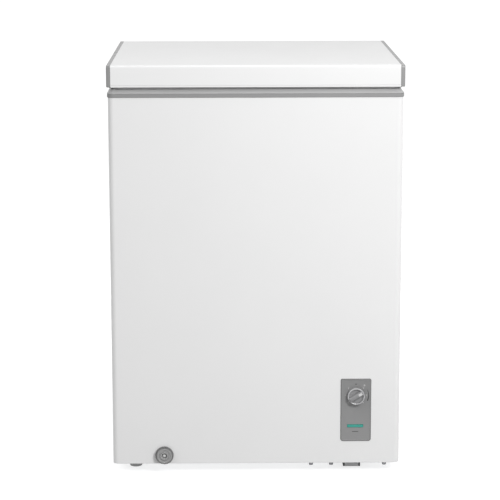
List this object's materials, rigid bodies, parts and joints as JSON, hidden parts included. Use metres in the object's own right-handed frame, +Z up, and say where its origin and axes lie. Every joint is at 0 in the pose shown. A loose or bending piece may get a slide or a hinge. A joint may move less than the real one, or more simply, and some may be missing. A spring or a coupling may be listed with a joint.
{
  "type": "chest freezer",
  "caption": "Upright-proportioned small chest freezer with a lift-up insulated lid, an aluminium-lined tub with a hanging basket, a dial thermostat and a front defrost drain.",
  "frame": {"origin": "on the floor, under the middle of the whole freezer's box", "axes": "+X to the right seen from the front, +Y towards the back, +Z up; the front faces -Y"},
  "size_m": [0.598, 0.56, 0.85],
  "materials": {
    "white_paint": "satin",
    "white_paint_back": "satin",
    "zinc_steel": "satin",
    "insulation_foam": "matte",
    "stucco_aluminium": "satin",
    "copper": "satin",
    "grey_abs": "satin",
    "grey_abs_panel": "satin",
    "grey_knob": "satin",
    "grey_drain": "satin",
    "teal_lens": "gloss",
    "white_plastic": "matte",
    "white_hips": "satin",
    "dark_grey_plastic": "matte",
    "black_plastic": "matte",
    "black_steel": "satin",
    "grille_steel": "satin",
    "black_rubber": "matte",
    "grey_rubber": "matte",
    "white_wire": "satin"
  },
  "bodies": {
    "cabinet": {"outer_shell": "white_paint", "back_panel": "white_paint_back", "base_plate": "zinc_steel", "compressor_bulkhead": "zinc_steel", "body_foam": "insulation_foam", "inner_liner": "stucco_aluminium", "evaporator_coil": "copper", "condenser_coil": "copper", "collar_frame": "grey_abs", "control_fascia": "grey_abs_panel", "thermostat_body": "zinc_steel", "indicator_window": "teal_lens", "indicator_lamp": "white_plastic", "drain_bezel": "grey_drain", "drain_tube": "white_plastic", "compressor": "black_steel", "compressor_bracket": "zinc_steel", "compressor_mount_1": "black_rubber", "compressor_mount_2": "black_rubber", "compressor_mount_3": "black_rubber", "compressor_mount_4": "black_rubber", "compressor_tray": "zinc_steel", "terminal_cover": "black_plastic", "filter_drier": "copper", "suction_tube": "copper", "discharge_tube": "copper", "compressor_grille": "grille_steel", "cord_gland": "black_plastic", "foot_front_left": "dark_grey_plastic", "foot_rear_left": "dark_grey_plastic", "foot_front_right": "dark_grey_plastic", "foot_rear_right": "dark_grey_plastic", "tray_bolt_front_1": "zinc_steel", "tray_bolt_front_2": "zinc_steel", "tray_bolt_front_3": "zinc_steel", "tray_bolt_rear_1": "zinc_steel", "tray_bolt_rear_2": "zinc_steel", "tray_bolt_rear_3": "zinc_steel", "hinge_base_left": "zinc_steel", "hinge_pin_left": "zinc_steel", "hinge_spring_left": "zinc_steel", "hinge_cover_left": "white_plastic", "hinge_base_right": "zinc_steel", "hinge_pin_right": "zinc_steel", "hinge_spring_right": "zinc_steel", "hinge_cover_right": "white_plastic"},
    "lid": {"lid_skin": "white_paint", "lid_end_cap_left": "grey_abs", "lid_end_cap_right": "grey_abs", "lid_liner": "white_hips", "lid_foam": "insulation_foam", "lid_gasket": "grey_rubber", "hinge_arm_left": "zinc_steel", "hinge_arm_right": "zinc_steel"},
    "thermostat_knob": {"thermostat_knob": "grey_knob", "thermostat_shaft": "white_plastic"},
    "drain_spout": {"drain_spout": "grey_drain"},
    "drain_dial": {"drain_dial": "grey_drain"},
    "drain_plug": {"drain_plug": "grey_rubber"},
    "basket": {"basket": "white_wire"}
  },
  "joints": [
    {"name": "lid_hinge", "type": "hinge", "parent": "cabinet", "child": "lid", "pos_m": [0, 0.27, 0.8], "axis": [-1, 0, 0], "range_deg": [0, 80]},
    {"name": "thermostat_turn", "type": "hinge", "parent": "cabinet", "child": "thermostat_knob", "pos_m": [0.206, -0.266, 0.1665], "axis": [0, 1, 0], "range_deg": [-193, 77]},
    {"name": "drain_pull", "type": "slide", "parent": "cabinet", "child": "drain_spout", "axis": [0, -1, 0], "range_m": [0, 0.015]},
    {"name": "drain_turn", "type": "hinge", "parent": "drain_spout", "child": "drain_dial", "pos_m": [-0.19, -0.266, 0.041], "axis": [0, 1, 0], "range_deg": [0, 180]},
    {"name": "drain_plug_lift", "type": "slide", "parent": "cabinet", "child": "drain_plug", "axis": [0, 0, 1], "range_m": [0, 0.04]},
    {"name": "basket_slide", "type": "slide", "parent": "cabinet", "child": "basket", "axis": [1, 0, 0], "range_m": [0, 0.28]}
  ]
}
